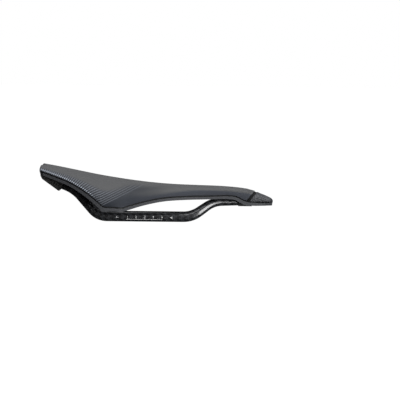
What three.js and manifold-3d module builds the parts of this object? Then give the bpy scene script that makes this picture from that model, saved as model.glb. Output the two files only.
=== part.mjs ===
// A short-nosed road bicycle saddle, in millimetres.
// X points to the nose, Y to the rider's left and Z up. The origin is midway between the rails,
// at the middle of their straight clamping length and level with their undersides.

import * as THREE from "three";
import { mergeVertices } from "three/addons/utils/BufferGeometryUtils.js";
import Module from "manifold-3d";

const wasm = await Module();
wasm.setup();

// Driving dimensions. Each pair is a station along the saddle and the value there.
const CROWN = [[-111, 59], [-97, 56.8], [-72, 52.1], [-46, 47.2], [-21, 43.3], [4, 40.4],
  [29, 38.6], [54, 37.8], [80, 37.1], [99, 35.7], [108, 34.4], [114.5, 32.8], [121, 30.2],
  [127, 27.8], [134, 24.6]];
const HALF_WIDTH = [[-111, 41], [-108, 42.2], [-94, 49.5], [-76, 58.4], [-59, 66.3], [-50, 69.8],
  [-41, 71.5], [-30, 71], [-23, 69.2], [-5, 56.8], [7, 48.1], [18, 40.3], [30, 34.5], [42, 29.9],
  [60, 25.4], [78, 22.6], [96, 20.1], [114, 18], [126, 15.8], [134, 14.5]];
const EDGE = [[-111, 53.3], [-100, 49.9], [-90, 46.5], [-79, 42.3], [-69, 37.2], [-58, 30.2],
  [-52, 25.6], [-47.5, 21.9], [-43, 18], [-40, 17.3], [-35, 17.2], [-28, 16.7], [-23.5, 16.3],
  [-21, 16.8], [-18.5, 17.8], [-13, 19.4], [-9.6, 20.4], [-4.5, 21.7], [0, 22.7], [12, 25.1],
  [22, 26.5], [37, 27.4], [68, 28.2], [89, 28.6], [95, 27.9], [100, 25.6], [104, 23.7],
  [110, 22.3], [134, 22.1]];
const CHANNEL = [[-111, 21.5], [-106, 20], [-93, 17], [-78, 14], [-60, 10.9], [-53, 10.9],
  [-35, 13.8], [-25, 14], [6, 12.5], [25, 11.4], [47, 9.7], [60, 8.3], [83, 5.9], [112, 4]];
const FLOOR = [[-111, 52.5], [-97, 50], [-72, 44], [-46, 38.1], [-21, 33.8], [4, 30.9],
  [29, 29.3], [54, 29.1], [80, 30.1], [99, 29.9], [109, 28.6], [113, 25.2], [117, 22.3],
  [120, 21.8], [134, 21.8]];
const RIM_DEPTH = [[-111, 2.9], [-90, 3], [-70, 3.5], [-56, 4.3], [-47, 4.6], [-41, 4.4],
  [-36, 3.6], [-30, 3.2], [-22, 3.4], [-12, 3.4], [0, 3.1], [20, 3], [60, 2.8], [90, 2.9],
  [100, 3.7], [104, 3.9], [112, 3.1], [134, 2.9]];
const OPENING = [[-41, 0], [-40, 3.4], [-36, 5.6], [-28, 7.6], [-17, 9.2], [-5, 9.3], [12, 9],
  [36, 7.6], [54, 6.1], [66, 4.7], [73, 3.6], [76, 2.2], [77, 0]];
const OPENING_CUT = { low: 10, high: 60, least: 0.2 }; // heights of the cut, least half width

const SKIN = 1.1; // cover thickness
const CLEAR = 0.3; // air between touching pieces
const ROLL = 4; // width of the lobe's rolled edge beside the channel
const ROLL_SHARE = 0.2; // its share of the grid across a lobe
const TAIL_ROUND = 2.4; // radius at the tail end of a lobe
const FLANK = { from: 20, to: 90, spread: [0.83, 0.6], drop: [1.18, 0.8] }; // wings to nose
const PAD_TAIL = 2.6; // how much further in a foam pad ends at the tail
const PAD_LIFT = 0.05; // least thickness of a pad beside the channel, as a share of the padding
const SHELL = 1.9; // base shell thickness
const SHELL_SHARE = { channel: 0.2, wall: 0.9 }; // shares of its grid at the channel and the wall
const RIM_LEAN = 0.4; // how much further in the rim's lower edge lies
const EDGE_GAP = 1.4; // shadow gap between the cover's edge and the base rim
const LEDGE = 2.2; // rim ledge that the cover's edge stands over
const RIM_WALL = 1.1; // how much further in the rim's inner face lies
const CHIN = 0.8; // how far the base's underside is set back at the nose
const TAIL_CHIN = 0.9; // and at the tail
const END_RIM = [1.5, 5.5]; // the rim's thickness at both ends, and where it has run out
// The groove's middle line passes through x at height z, and bends back by bow at reach from the
// centre line. Its rib stops sunk below the skin and reaches root into the shell.
const GROOVE = {
  x: 115.2, z: 30, slope: 0.75, bow: 1.5, reach: 17, half: 1.5, sunk: 1.4, root: 1, passes: 8,
};
const COVER_FRONT = 112;
const SLANT_FROM = 92; // from here forward the cover's rows lean back to the groove
const BRIDGE_X = 110; // front end of the channel
const NOSE = { tip: 134, round: 8, power: 5 }; // plan outline of the nose
const CAP = { base: 22, shoulder: 0.9, tipRound: 2, spread: 0.75, drop: 0.7, margin: [1.5, 1.2] };

const FIN = { from: -63, to: -35, narrow: 4.6, wide: 9.6, half: 0.5, proud: 1.3, root: 1 };
const INSERT = { radius: 3, bore: 1.9, length: 6, floor: 0.8, wall: 2 };
const CLIP = { x: -84, spacing: 16, bossLow: 37.6, length: 17, width: 27, thick: 3.4, corner: 3 };
const CLIP_SCREW = { shank: 1.6, head: 3, headHeight: 1.6, length: 6.5 };
const HEX = { width: 0.55, depth: 0.7 }; // key recess, as shares of a screw head
const SOCKET = { from: 97.5, to: 112, half: 14.2, low: 16.9 };
const SOCKET_SCREW = { x: 104.5, shank: 1.5, head: 2.7, headHeight: 2, low: 17.2, tip: 25.4 };
const SOCKET_BOSS = { radius: 3, low: 21 };
const CAP_SCREW = { x: 122, shank: 1.3, head: 2.3, headHeight: 1.4, low: 17.9, tip: 24.7 };
// Side outline of a rear rail socket: a wedge that hangs under the tail.
const WEDGE = [[-109, 47.6], [-107.2, 44], [-90.4, 32], [-89, 31.8], [-86.4, 34.3], [-85.4, 39.2]];
const WEDGE_STATIONS = [-109, -107.2, -103, -98.8, -94.6, -90.4, -89, -86.4, -85.4];
const WEDGE_HALF = 6.8;
const TAIL_RIM_ROOF = [-104, -98]; // behind this a wedge's roof lies under the tail rim

const RAIL = {
  width: 7, height: 9.3, endHeight: 7.1, spacing: 44, noseSpacing: 19.6, tailSpacing: 60, steps: 36,
  noseTaper: [52, 90], tailTaper: [-92, -55],
};
// Undersides of the rails: corners in X and Z, half the rail spacing there, and the length
// that the bend takes on either side.
const RAIL_CORNERS = [[-97, 37.2, RAIL.tailSpacing / 2, 0], [-76.3, 29.3, 27, 9],
  [-51, 0, RAIL.spacing / 2, 12], [51, 0, RAIL.spacing / 2, 11], [73, 16.8, 15.5, 8],
  [105, 17.8, RAIL.noseSpacing / 2, 0]];

const material = (colour, roughness, metalness = 0) =>
  new THREE.MeshStandardMaterial({ color: colour, roughness, metalness });
const finishes = {
  cover: material(0x3a3c40, 0.6),
  foam: material(0x55585c, 0.9),
  shell: material(0x1a1b1d, 0.35),
  carbon: material(0x141517, 0.2),
  socket: material(0x232427, 0.5),
  cap: material(0x2c2e32, 0.5),
  steel: material(0x8a8d90, 0.35, 1),
  brass: material(0xb08d4a, 0.35, 1),
};

// ---- Small tools

// A smooth curve through [position, value] stations, level beyond both ends.
function fair(stations) {
  const spline = new THREE.CubicInterpolant(
    stations.map(([at]) => at),
    stations.map(([, value]) => value),
    1,
  );
  return (at) => spline.evaluate(at)[0];
}

const { lerp, smoothstep } = THREE.MathUtils;
const crown = fair(CROWN);
const halfWidth = fair(HALF_WIDTH);
const edge = fair(EDGE);
const channel = fair(CHANNEL);
const floor = fair(FLOOR);
const rimDepth = fair(RIM_DEPTH);
const opening = fair(OPENING);

// Grid rows lie closer together towards both ends.
const spaced = (u) => u - (0.55 * Math.sin(2 * Math.PI * u)) / (2 * Math.PI);

// A closed box of unit size with each corner of its grid carried to place(u, v, w), all from 0 to 1.
function mapped(along, across, place, up = 1) {
  const geometry = new THREE.BoxGeometry(1, 1, 1, along, across, up);
  const points = geometry.getAttribute("position");
  for (let i = 0; i < points.count; i++) {
    const [x, y, z] = place(points.getX(i) + 0.5, points.getY(i) + 0.5, points.getZ(i) + 0.5);
    points.setXYZ(i, x, y, z);
  }
  return geometry;
}

function mirrored(geometry) {
  const copy = geometry.clone().scale(1, -1, 1);
  const index = copy.getIndex();
  for (let i = 0; i < index.count; i += 3) {
    const second = index.getX(i + 1);
    index.setX(i + 1, index.getX(i + 2));
    index.setX(i + 2, second);
  }
  return copy;
}

function welded(geometry) {
  const bare = geometry.clone();
  bare.deleteAttribute("normal");
  bare.deleteAttribute("uv");
  return mergeVertices(bare, 1e-4);
}

function toManifold(geometry) {
  const bare = welded(geometry);
  return new wasm.Manifold(new wasm.Mesh({
    numProp: 3,
    vertProperties: new Float32Array(bare.getAttribute("position").array),
    triVerts: new Uint32Array(bare.getIndex().array),
  }));
}

function fromManifold(solid) {
  const mesh = solid.getMesh();
  const geometry = new THREE.BufferGeometry();
  geometry.setAttribute("position", new THREE.BufferAttribute(mesh.vertProperties, 3));
  geometry.setIndex(new THREE.BufferAttribute(mesh.triVerts, 1));
  geometry.computeVertexNormals();
  return geometry;
}

const join = (first, ...others) =>
  fromManifold(others.reduce((whole, next) => whole.add(toManifold(next)), toManifold(first)));
const cut = (first, ...others) =>
  fromManifold(others.reduce((whole, next) => whole.subtract(toManifold(next)), toManifold(first)));

const saddle = new THREE.Group();

function add(name, geometry, finish) {
  const mesh = new THREE.Mesh(geometry, finish);
  mesh.name = name;
  saddle.add(mesh);
  return mesh;
}

// An upright round bar between two heights.
function post(radius, x, y, low, high, sides = 16) {
  return new THREE.CylinderGeometry(radius, radius, high - low, sides)
    .rotateX(Math.PI / 2)
    .translate(x, y, (low + high) / 2);
}

// ---- Cross-section shared by cover, pads and shell

// The flank falls from a level crown to an upright edge: round on the wings, squarer on the nose.
const flankSpread = (x) => lerp(...FLANK.spread, smoothstep(x, FLANK.from, FLANK.to));
const flankDrop = (x) => lerp(...FLANK.drop, smoothstep(x, FLANK.from, FLANK.to));
const flank = (x, angle) => [Math.sin(angle) ** flankSpread(x), Math.cos(angle) ** flankDrop(x)];

// The slanted groove between the cover and the nose cap, and where a section that changes along
// the saddle meets it. Each pass comes closer.
const grooveX = (y, z) =>
  GROOVE.x + (z - GROOVE.z) * GROOVE.slope - GROOVE.bow * (y / GROOVE.reach) ** 2;

function meetGroove(section, offset) {
  let x = GROOVE.x;
  for (let pass = 0; pass < GROOVE.passes; pass++) x = grooveX(...section(x)) + offset;
  return x;
}

// Where a lobe ends at the tail, by grid fraction across it.
const lobeTail = fair([
  [0, -107], [0.12, -108.9], [0.22, -109.8], [0.4, -110], [0.6, -110], [0.85, -108.8], [1, -106.5],
]);

// One lobe's section at x, sunk by inset below the skin: v goes from the channel to the outer edge.
function lobeSection(x, v, inset, tailDistance) {
  const inner = channel(x) + inset;
  const outer = halfWidth(x) - inset;
  const top = crown(x) - inset;
  const foot = floor(x) + CLEAR;
  const low = edge(x);
  const rounding = 1 - Math.min(tailDistance / TAIL_ROUND, 1);
  const rise = Math.sqrt(1 - rounding ** 2);
  if (v < ROLL_SHARE) {
    const angle = ((v / ROLL_SHARE) * Math.PI) / 2;
    return [inner + ROLL * (1 - Math.cos(angle)), foot + (top - foot) * Math.sin(angle) * rise];
  }
  const angle = (((v - ROLL_SHARE) / (1 - ROLL_SHARE)) * Math.PI) / 2;
  const [out, down] = flank(x, angle);
  const parting = lerp(foot, low, (v - ROLL_SHARE) / (1 - ROLL_SHARE));
  const skin = low + (top - low) * down;
  return [inner + ROLL + (outer - inner - ROLL) * out, parting + (skin - parting) * rise];
}

function lobePoint(u, v, inset, tailInset = inset) {
  const tail = lobeTail(v) + tailInset;
  const even = lerp(tail, COVER_FRONT, spaced(u));
  const section = (x) => lobeSection(x, v, inset, even - tail);
  const front = meetGroove(section, -GROOVE.half);
  const x = even + smoothstep(even, SLANT_FROM, COVER_FRONT) * (front - COVER_FRONT);
  return [x, ...section(x)];
}

// ---- Cover: one thin skin over both lobes, joined by a strip in front of the channel

const leftSkin = mapped(28, 10, (u, v, w) => lobePoint(u, v, SKIN * (1 - w)));
const bridgeReach = channel(BRIDGE_X) + ROLL;
const bridge = mapped(2, 2, (u, v, w) => {
  const section = (x) => [lerp(-bridgeReach, bridgeReach, v), crown(x) - SKIN * (1 - w)];
  const x = lerp(BRIDGE_X, meetGroove(section, -GROOVE.half), u);
  return [x, ...section(x)];
});
add("cover", join(leftSkin, mirrored(leftSkin), bridge), finishes.cover);

// ---- Foam pads: solid foam between the cover and the base shell

const PAD_INSET = SKIN + CLEAR;

// The pad's upper face follows the skin, and its lower face the base shell.
function padPoint(u, v, w) {
  const [x, y, z] = lobePoint(u, v, PAD_INSET, PAD_INSET + PAD_TAIL);
  if (w > 0.5) return [x, y, z + (v === 0 ? PAD_LIFT * (crown(x) - floor(x)) : 0)];
  const bottom = (at) => {
    const ledge = edge(at) - EDGE_GAP;
    return ledge + (floor(at) - ledge) * flank(at, (v * Math.PI) / 2)[1] + 1.3 * CLEAR;
  };
  const under = x - smoothstep(x, SLANT_FROM, COVER_FRONT) * (z - bottom(x)) * GROOVE.slope;
  const inner = channel(under) + PAD_INSET;
  const outer = halfWidth(under) - LEDGE + 1.5 * CLEAR;
  return [under, lerp(inner, outer, flank(under, (v * Math.PI) / 2)[0]), bottom(under)];
}
const leftPad = mapped(28, 10, padPoint);
add("left_foam_pad", leftPad, finishes.foam);
add("right_foam_pad", mirrored(leftPad), finishes.foam);

// ---- Base shell

// The shell's outline at both ends, by fraction of the way out from the centre line.
const shellTail = fair([
  [0, -102], [0.1, -103.6], [0.2, -107.6], [0.3, -109.5], [0.45, -110], [0.8, -109], [1, -106.5],
]);
const noseFront = (a) => NOSE.tip - NOSE.round * a ** NOSE.power;

function shellPoint(u, v, w) {
  const side = Math.sign(v - 0.5);
  const a = Math.abs(2 * v - 1);
  const low = w < 0.5;
  const tail = shellTail(a) + (low ? TAIL_CHIN : 0);
  const front = noseFront(a) - (low ? CHIN : 0);
  const x = lerp(tail, front, spaced(u));
  const endRim = low ? 1 - smoothstep(Math.min(x - tail, front - x), ...END_RIM) : 0;
  const ledge = edge(x) - EDGE_GAP - (low ? rimDepth(x) : 0);
  const top = lerp(floor(x) - (low ? SHELL : 0), ledge, endRim);
  const wall = halfWidth(x) - LEDGE - (low ? RIM_WALL : 0);
  const centre = channel(x);
  if (a <= SHELL_SHARE.channel) return [x, (side * centre * a) / SHELL_SHARE.channel, top];
  if (a < SHELL_SHARE.wall) {
    const share = (a - SHELL_SHARE.channel) / (SHELL_SHARE.wall - SHELL_SHARE.channel);
    const [out, down] = flank(x, (share * Math.PI) / 2);
    return [x, side * lerp(centre, wall, out), ledge + (top - ledge) * down];
  }
  const outward = (a - SHELL_SHARE.wall) / (1 - SHELL_SHARE.wall);
  return [x, side * lerp(wall, halfWidth(x) - (low ? RIM_LEAN : 0), outward), ledge];
}

const shellBody = mapped(34, 20, shellPoint);

// Height of the shell's upper or lower face over a point of the plan.
function shellHeight(x, y, under) {
  const ledge = edge(x) - EDGE_GAP - (under ? rimDepth(x) : 0);
  const centre = channel(x);
  const wall = halfWidth(x) - LEDGE - (under ? RIM_WALL : 0);
  const reach = THREE.MathUtils.clamp((Math.abs(y) - centre) / (wall - centre), 0, 1);
  const angle = Math.asin(reach ** (1 / flankSpread(x)));
  return ledge + (floor(x) - (under ? SHELL : 0) - ledge) * flank(x, angle)[1];
}

// A rib stands on the shell between the cover and the nose cap, and closes the groove.
function ribSection(x, a, low) {
  const [out, down] = flank(x, (a * Math.PI) / 2);
  const y = (halfWidth(x) - GROOVE.sunk) * out;
  if (low) return [y, shellHeight(x, y, false) - GROOVE.root];
  return [y, edge(x) + (crown(x) - GROOVE.sunk - edge(x)) * down];
}
const grooveRib = mapped(1, 12, (u, v, w) => {
  const side = Math.sign(v - 0.5);
  const a = Math.abs(2 * v - 1);
  const offset = lerp(2 * CLEAR - GROOVE.half, GROOVE.half - 2 * CLEAR, u);
  const x = meetGroove((at) => ribSection(at, a, w < 0.5), offset);
  const [y, z] = ribSection(x, a, w < 0.5);
  return [x, side * y, z];
});

// Two thin fins frame the scoop behind the opening.
function scoopFin(side) {
  return mapped(4, 1, (u, v, w) => {
    const x = lerp(FIN.from, FIN.to, u);
    const y = side * lerp(FIN.narrow, FIN.wide, u) + lerp(-FIN.half, FIN.half, v);
    return [x, y, floor(x) + lerp(-FIN.root, FIN.proud, w)];
  });
}
const openingCutter = mapped(24, 1, (u, v, w) => {
  const x = lerp(OPENING[0][0], OPENING.at(-1)[0], 0.5 - 0.5 * Math.cos(Math.PI * u));
  const half = Math.max(opening(x), OPENING_CUT.least);
  return [x, lerp(-half, half, v), lerp(OPENING_CUT.low, OPENING_CUT.high, w)];
});
const CLIP_YS = [CLIP.spacing / 2, -CLIP.spacing / 2];
const bosses = CLIP_YS.map((y) =>
  post(INSERT.radius + INSERT.wall, CLIP.x, y, CLIP.bossLow, floor(CLIP.x) - SHELL / 2));
const insertTop = CLIP.bossLow + INSERT.length + CLEAR;
const insertHoles = CLIP_YS.map((y) =>
  post(INSERT.radius + CLEAR, CLIP.x, y, CLIP.bossLow - 1, insertTop));
const socketBoss = post(
  SOCKET_BOSS.radius, SOCKET_SCREW.x, 0, SOCKET_BOSS.low, floor(SOCKET_SCREW.x) - SHELL / 2);

// A hole for a screw's shank, from below everything to a given height.
const shankHole = ({ shank, x }, y, top) => post(shank + CLEAR, x, y, 0, top, 12);
const headRecess = ({ head, headHeight, low, x }) =>
  post(head + CLEAR, x, 0, 0, low + headHeight + CLEAR);
add(
  "base_shell",
  cut(
    join(shellBody, grooveRib, scoopFin(1), scoopFin(-1), ...bosses, socketBoss),
    openingCutter,
    ...insertHoles,
    shankHole(SOCKET_SCREW, 0, SOCKET_SCREW.tip + CLEAR),
    shankHole(CAP_SCREW, 0, CAP_SCREW.tip + CLEAR),
    headRecess(CAP_SCREW),
  ),
  finishes.shell,
);

// ---- Rails

function railPath(side) {
  const corners = RAIL_CORNERS.map(([x, z, half]) => new THREE.Vector3(x, side * half, z));
  const path = new THREE.CurvePath();
  let from = corners[0];
  for (let i = 1; i < corners.length - 1; i++) {
    const bend = RAIL_CORNERS[i][3];
    const before = corners[i].clone().add(corners[i - 1].clone().sub(corners[i]).setLength(bend));
    const after = corners[i].clone().add(corners[i + 1].clone().sub(corners[i]).setLength(bend));
    path.add(new THREE.LineCurve3(from, before));
    path.add(new THREE.QuadraticBezierCurve3(before, corners[i], after));
    from = after;
  }
  path.add(new THREE.LineCurve3(from, corners.at(-1)));
  return path;
}

function railSection(grow) {
  const radius = RAIL.width / 2 + grow;
  const shape = new THREE.Shape();
  shape.absarc(0, RAIL.width / 2, radius, Math.PI, 2 * Math.PI);
  shape.absarc(0, RAIL.height - RAIL.width / 2, radius, 0, Math.PI);
  return shape;
}

function rail(side, grow = 0) {
  const path = railPath(side);
  const options = { depth: 1, steps: RAIL.steps, bevelEnabled: false, curveSegments: 3 };
  const geometry = new THREE.ExtrudeGeometry(railSection(grow), options);
  const points = geometry.getAttribute("position");
  const vertical = new THREE.Vector3(0, 0, 1);
  for (let i = 0; i < points.count; i++) {
    const along = THREE.MathUtils.clamp(points.getZ(i), 0, 1);
    const centre = path.getPointAt(along);
    const forward = path.getTangentAt(along);
    const across = new THREE.Vector3().crossVectors(vertical, forward).normalize();
    const up = new THREE.Vector3().crossVectors(forward, across);
    const taper = Math.max(
      smoothstep(centre.x, ...RAIL.noseTaper),
      1 - smoothstep(centre.x, ...RAIL.tailTaper),
    );
    const trim = points.getY(i) > RAIL.width / 2 ? taper * (RAIL.height - RAIL.endHeight) : 0;
    centre.addScaledVector(across, points.getX(i)).addScaledVector(up, points.getY(i) - trim);
    if (grow) centre.addScaledVector(forward, along < 0.5 ? -grow : grow);
    points.setXYZ(i, centre.x, centre.y, centre.z);
  }
  return geometry;
}

add("left_rail", rail(1), finishes.carbon);
add("right_rail", rail(-1), finishes.carbon);

// ---- Rail sockets

const frontBlock = mapped(5, 8, (u, v, w) => {
  const x = lerp(SOCKET.from, SOCKET.to, u);
  const half = Math.min(SOCKET.half, halfWidth(x) - LEDGE - RIM_WALL - CLEAR);
  const y = lerp(-half, half, v);
  const roof = shellHeight(x, y, true) - 2 * CLEAR;
  return [x, y, lerp(SOCKET.low, Math.max(roof, SOCKET.low + 1), w)];
});
add(
  "front_rail_socket",
  cut(
    frontBlock,
    rail(1, CLEAR),
    rail(-1, CLEAR),
    post(SOCKET_BOSS.radius + CLEAR, SOCKET_SCREW.x, 0, SOCKET_BOSS.low - CLEAR, crown(SOCKET_SCREW.x)),
    shankHole(SOCKET_SCREW, 0, crown(SOCKET_SCREW.x)),
    headRecess(SOCKET_SCREW),
  ),
  finishes.socket,
);

// The wedge's roof follows the shell; its underside falls along the wedge outline.
const wedgeUnderside = (x) => {
  const after = WEDGE.findIndex(([at]) => at >= x);
  if (after <= 0) return WEDGE[0][1];
  const [a, b] = [WEDGE[after - 1], WEDGE[after]];
  return lerp(a[1], b[1], (x - a[0]) / (b[0] - a[0]));
};

const wedgeSteps = WEDGE_STATIONS.length - 1;
const leftWedge = mapped(wedgeSteps, 4, (u, v, w) => {
  const x = WEDGE_STATIONS[Math.round(u * wedgeSteps)];
  const y = RAIL.tailSpacing / 2 + lerp(-WEDGE_HALF, WEDGE_HALF, v);
  const rim = edge(x) - EDGE_GAP - rimDepth(x);
  const roof = lerp(rim, shellHeight(x, y, true), smoothstep(x, ...TAIL_RIM_ROOF)) - 2 * CLEAR;
  return [x, y, w < 0.5 ? wedgeUnderside(x) : roof];
});
add("left_rear_rail_socket", cut(leftWedge, rail(1, CLEAR)), finishes.socket);
add("right_rear_rail_socket", cut(mirrored(leftWedge), rail(-1, CLEAR)), finishes.socket);

// ---- Nose cap

// The cap's section at x, a fraction a of the way out from its centre line.
function capSection(x, a, side, low) {
  const share = (a * Math.PI) / 2;
  const y = side * (halfWidth(x) - CLEAR) * Math.sin(share) ** CAP.spread;
  if (low) {
    const [back, inward] = CAP.margin;
    const shell = shellHeight(x - back, Math.abs(y) - inward, false);
    return [y, Math.max(CAP.base, shell + 2 * CLEAR)];
  }
  const shoulder = CAP.base + CAP.shoulder;
  const fromTip = Math.min((noseFront(a) - x) / CAP.tipRound, 1);
  const top = lerp(shoulder, crown(x), Math.sqrt(1 - (1 - fromTip) ** 2));
  return [y, shoulder + (top - shoulder) * Math.cos(share) ** CAP.drop];
}

function capPoint(u, v, w) {
  const a = Math.abs(2 * v - 1);
  const side = Math.sign(v - 0.5);
  const low = w < 0.5;
  const forward = 1 - (1 - u) ** 2;
  const rear = meetGroove((at) => capSection(at, a, side, low), GROOVE.half);
  const x = lerp(rear, noseFront(a), forward);
  return [x, ...capSection(x, a, side, low)];
}
const capBody = mapped(8, 12, capPoint);
add("nose_cap", cut(capBody, shankHole(CAP_SCREW, 0, CAP_SCREW.tip + CLEAR)), finishes.cap);

// ---- Accessory clip plate, inserts and screws

function screw({ shank, head, headHeight }, length) {
  const profile = [
    [0, 0], [head, 0], [head, headHeight], [shank, headHeight], [shank, length], [0, length],
  ].map(([radius, z]) => new THREE.Vector2(radius, z));
  const body = new THREE.LatheGeometry(profile, 16).rotateX(Math.PI / 2);
  const key = head * HEX.width;
  const recess = new THREE.CylinderGeometry(key, key, 2 * headHeight * HEX.depth, 6);
  return cut(body, recess.rotateX(Math.PI / 2));
}

function addScrew(name, size) {
  const fixing = add(name, screw(size, size.tip - size.low), finishes.steel);
  fixing.position.set(size.x, 0, size.low);
}
addScrew("nose_cap_screw", CAP_SCREW);
addScrew("front_socket_screw", SOCKET_SCREW);

function roundedPlate(length, width, corner) {
  const [x, y] = [length / 2, width / 2];
  return new THREE.Shape()
    .moveTo(-x, corner - y)
    .lineTo(-x, y - corner)
    .quadraticCurveTo(-x, y, corner - x, y)
    .lineTo(x - corner, y)
    .quadraticCurveTo(x, y, x, y - corner)
    .lineTo(x, corner - y)
    .quadraticCurveTo(x, -y, x - corner, -y)
    .lineTo(corner - x, -y)
    .quadraticCurveTo(-x, -y, -x, corner - y);
}

// The screw heads lie sunk in the plate, so that its lower face is free to seat a clip.
const plateTop = CLIP.bossLow - CLEAR;
const plateLow = plateTop - CLIP.thick;
const headLow = plateLow + CLEAR;
const plateOptions = { depth: CLIP.thick, bevelEnabled: false, curveSegments: 4 };
const plate = new THREE.ExtrudeGeometry(
  roundedPlate(CLIP.length, CLIP.width, CLIP.corner), plateOptions).translate(CLIP.x, 0, plateLow);
const headTop = headLow + CLIP_SCREW.headHeight + CLEAR;
const plateHoles = CLIP_YS.flatMap((y) => [
  shankHole({ ...CLIP_SCREW, x: CLIP.x }, y, CLIP.bossLow),
  post(CLIP_SCREW.head + CLEAR, CLIP.x, y, 0, headTop),
]);
add("accessory_clip_plate", cut(plate, ...plateHoles), finishes.socket);

const bore = post(INSERT.bore, 0, 0, -1, INSERT.length - INSERT.floor, 12);
const insert = cut(post(INSERT.radius, 0, 0, 0, INSERT.length), bore);
["left", "right"].forEach((name, i) => {
  const y = CLIP_YS[i];
  add(name + "_threaded_insert", insert, finishes.brass).position.set(CLIP.x, y, CLIP.bossLow);
  const fixing = add(name + "_clip_screw", screw(CLIP_SCREW, CLIP_SCREW.length), finishes.steel);
  fixing.position.set(CLIP.x, y, headLow);
});

export default saddle;
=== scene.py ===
import bisect
import math

import bmesh
import bpy
from mathutils import Matrix, Vector


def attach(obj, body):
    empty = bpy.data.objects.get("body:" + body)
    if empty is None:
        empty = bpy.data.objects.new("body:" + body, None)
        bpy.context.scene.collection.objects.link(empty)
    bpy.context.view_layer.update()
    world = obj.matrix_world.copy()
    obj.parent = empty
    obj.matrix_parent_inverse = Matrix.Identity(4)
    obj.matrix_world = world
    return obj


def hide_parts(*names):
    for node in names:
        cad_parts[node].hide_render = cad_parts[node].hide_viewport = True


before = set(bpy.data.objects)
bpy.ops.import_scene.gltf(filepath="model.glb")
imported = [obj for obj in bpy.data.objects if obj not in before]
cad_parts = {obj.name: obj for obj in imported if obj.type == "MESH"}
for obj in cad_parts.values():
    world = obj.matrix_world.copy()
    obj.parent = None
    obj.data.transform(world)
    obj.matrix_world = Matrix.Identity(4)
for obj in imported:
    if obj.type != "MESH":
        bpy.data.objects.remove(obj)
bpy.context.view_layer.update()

# ---- Studio
# A pale paper sheet lies well below the saddle and glows, so that it stays evenly bright. A broad
# softbox hangs overhead, a tall narrow one stands to the right of the camera, and a weak one to its
# left.

MM = 0.001


class Shade:
    """An output socket in a finish. Sums written on it add Math nodes, node() adds any other."""

    def __init__(self, tree, socket=None):
        self.tree = tree
        self.socket = socket

    def node(self, kind, settings, sockets, output=0):
        made = self.tree.nodes.new("ShaderNode" + kind)
        for name, value in settings.items():
            setattr(made, name, value)
        for name, value in sockets.items():
            if isinstance(value, Shade):
                self.tree.links.new(value.socket, made.inputs[name])
            else:
                made.inputs[name].default_value = value
        return Shade(self.tree, made.outputs[output] if made.outputs else None)

    def math(self, operation, *values):
        return self.node("Math", {"operation": operation}, dict(enumerate(values)))

    def __add__(self, other):
        return self.math("ADD", self, other)

    def __radd__(self, other):
        return self.math("ADD", other, self)

    def __sub__(self, other):
        return self.math("SUBTRACT", self, other)

    def __rsub__(self, other):
        return self.math("SUBTRACT", other, self)

    def __mul__(self, other):
        return self.math("MULTIPLY", self, other)

    def __rmul__(self, other):
        return self.math("MULTIPLY", other, self)

    def __truediv__(self, other):
        return self.math("DIVIDE", self, other)

    def __rtruediv__(self, other):
        return self.math("DIVIDE", other, self)

    def rise(self, low, high):
        """0 below low and 1 above high, smooth between them."""
        values = {"Value": self, "From Min": low, "From Max": high}
        return self.node("MapRange", {"interpolation_type": "SMOOTHSTEP"}, values)

    def mix(self, first, second):
        """From one colour to the other as this goes from 0 to 1."""
        return self.node("Mix", {"data_type": "RGBA"}, {0: self, 6: first, 7: second}, output=2)


def grey(level):
    return (level, level, level, 1)


def new_finish(name):
    finish = bpy.data.materials.new(name)
    finish.use_nodes = True
    finish.node_tree.nodes.clear()
    return finish, Shade(finish.node_tree)


def object_place(start):
    return start.node("TexCoord", {}, {}, output=3)


def lit_sheet():
    finish, start = new_finish("floor_paper")
    fibre = start.node("TexNoise", {}, {"Vector": object_place(start), "Scale": 900.0})
    paper = fibre.mix(grey(0.86), grey(0.9))
    dull = start.node("BsdfDiffuse", {}, {"Color": paper})
    glow = start.node("Emission", {}, {"Color": grey(1.0), "Strength": 1.2})
    both = start.node("MixShader", {}, {0: 0.78, 1: dull, 2: glow})
    start.node("OutputMaterial", {}, {"Surface": both})
    return finish


FLOOR_LEVEL = -0.12
FLOOR_HALF = 30.0
sheet = bmesh.new()
bmesh.ops.create_grid(sheet, x_segments=8, y_segments=8, size=FLOOR_HALF)
bmesh.ops.translate(sheet, verts=sheet.verts, vec=(0, 0, FLOOR_LEVEL))
floor_mesh = bpy.data.meshes.new("floor")
sheet.to_mesh(floor_mesh)
sheet.free()
floor_sheet = bpy.data.objects.new("floor", floor_mesh)
floor_mesh.materials.append(lit_sheet())
bpy.context.collection.objects.link(floor_sheet)
floor_sheet.visible_glossy = False
floor_sheet.visible_diffuse = False

world = bpy.data.worlds.new("studio")
world.use_nodes = True
world.node_tree.nodes.clear()
bpy.context.scene.world = world
air = Shade(world.node_tree)
upward = air.node("SeparateXYZ", {}, {0: air.node("TexCoord", {}, {}, output=0)}, output=2)
room = upward.rise(-0.05, 0.95).mix(grey(0.04), (0.52, 0.53, 0.55, 1))
seen = air.node("LightPath", {}, {}).mix(room, grey(1.0))
light_of_room = air.node("Background", {}, {"Color": seen, "Strength": 1.0})
air.node("OutputWorld", {}, {"Surface": light_of_room})

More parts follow.
